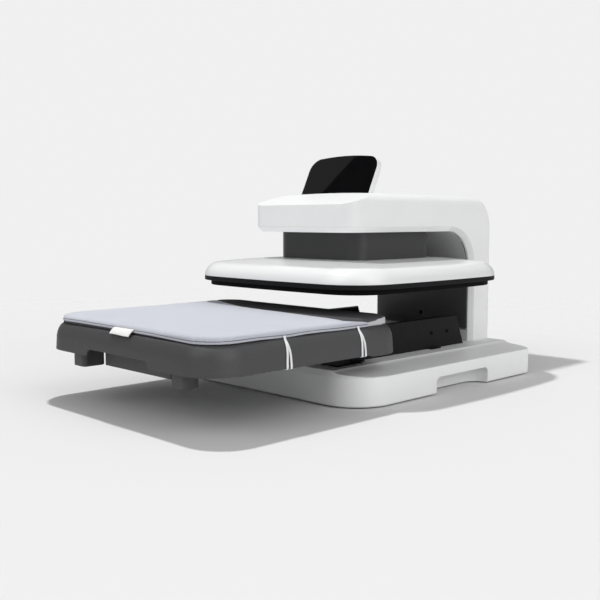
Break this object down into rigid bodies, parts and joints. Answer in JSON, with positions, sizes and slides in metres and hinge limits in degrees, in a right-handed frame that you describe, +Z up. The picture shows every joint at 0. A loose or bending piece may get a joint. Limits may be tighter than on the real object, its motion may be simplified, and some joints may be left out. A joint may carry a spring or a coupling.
{
  "type": "automatic heat press",
  "caption": "Bench-top automatic heat press: a white C-frame lowers a motor-driven square heat platen onto a padded tray that slides out on rails.",
  "frame": {"origin": "middle of the outline's footprint on the floor, with the tray pulled out", "axes": "+Z up, -Y towards the user, where the tray comes out, +X to the right of the user"},
  "size_m": [0.4166, 0.7488, 0.3898],
  "materials": {
    "white_plastic": "satin",
    "gloss_white": "gloss",
    "dark_glass": "gloss",
    "dark_grey_plastic": "satin",
    "tray_grey": "satin",
    "black_plastic": "satin",
    "black_steel": "satin",
    "zinc_steel": "satin",
    "bright_steel": "polished",
    "cast_alloy": "cast",
    "motor_steel": "satin",
    "bronze": "satin",
    "coated_aluminium": "matte",
    "heater_foil": "satin",
    "board_green": "satin",
    "mineral_wool": "matte",
    "foam_grey": "matte",
    "cover_cloth": "matte",
    "white_elastic": "matte",
    "foot_rubber": "matte"
  },
  "bodies": {
    "stand": {"base_shell": "white_plastic", "base_plate": "zinc_steel", "base_feet": "foot_rubber", "frame_shell": "white_plastic", "head_bottom_cover": "white_plastic", "column_liner": "dark_grey_plastic", "arch_lining": "white_plastic", "drawer_sensor": "black_plastic", "steel_frame": "zinc_steel", "display_housing": "white_plastic", "display_glass": "dark_glass", "gearbox": "cast_alloy", "drive_motor": "motor_steel", "screw_bearing": "zinc_steel", "guide_bushes": "bronze", "control_board": "board_green", "power_supply": "zinc_steel", "power_panel": "black_plastic", "power_inlet": "black_plastic", "inlet_pins": "bronze", "switch_body": "black_plastic", "bracket_left": "black_steel", "bracket_right": "black_steel", "bracket_screws": "black_steel", "rail_fixed_left": "zinc_steel", "rail_fixed_right": "zinc_steel"},
    "slide_middle": {"rail_mid_left": "zinc_steel", "rail_mid_right": "zinc_steel"},
    "tray": {"rail_tray_left": "zinc_steel", "rail_tray_right": "zinc_steel", "tray_shell": "tray_grey", "tray_bed": "zinc_steel", "tray_feet": "tray_grey", "tray_pull": "tray_grey", "foam_mat": "foam_grey", "pad_cover": "cover_cloth", "pad_straps": "white_elastic", "pad_tab": "white_elastic"},
    "press_head": {"lead_nut": "bronze", "carriage_plate": "zinc_steel", "guide_rods": "bright_steel", "neck_shroud": "dark_grey_plastic", "platen_cover": "gloss_white", "platen_posts": "zinc_steel", "platen_rim": "black_plastic", "insulation": "mineral_wool", "heating_element": "heater_foil", "heat_plate": "coated_aluminium", "heat_sensor": "bright_steel"},
    "screw": {"lead_screw": "bright_steel"},
    "rocker": {"power_rocker": "black_plastic"}
  },
  "joints": [
    {"name": "tray_slide", "type": "slide", "parent": "stand", "child": "tray", "axis": [0, 1, 0], "range_m": [0, 0.28675]},
    {"name": "slide_middle_run", "type": "slide", "parent": "stand", "child": "slide_middle", "axis": [0, 1, 0], "range_m": [0, 0.14339]},
    {"name": "press_stroke", "type": "slide", "parent": "stand", "child": "press_head", "axis": [0, 0, -1], "range_m": [0, 0.029]},
    {"name": "screw_turn", "type": "hinge", "parent": "stand", "child": "screw", "pos_m": [0, 0.10425, 0.2], "axis": [0, 0, 1], "range_deg": [0, 2610.5]},
    {"name": "switch_rock", "type": "hinge", "parent": "stand", "child": "rocker", "pos_m": [0.021, 0.36785, 0.0875], "axis": [1, 0, 0], "range_deg": [-18, 0]}
  ],
  "couplings": [
    {"joint": "slide_middle_run", "follows": "tray_slide", "ratio": 0.5},
    {"joint": "screw_turn", "follows": "press_stroke", "rad_per_m": 1570.8}
  ]
}
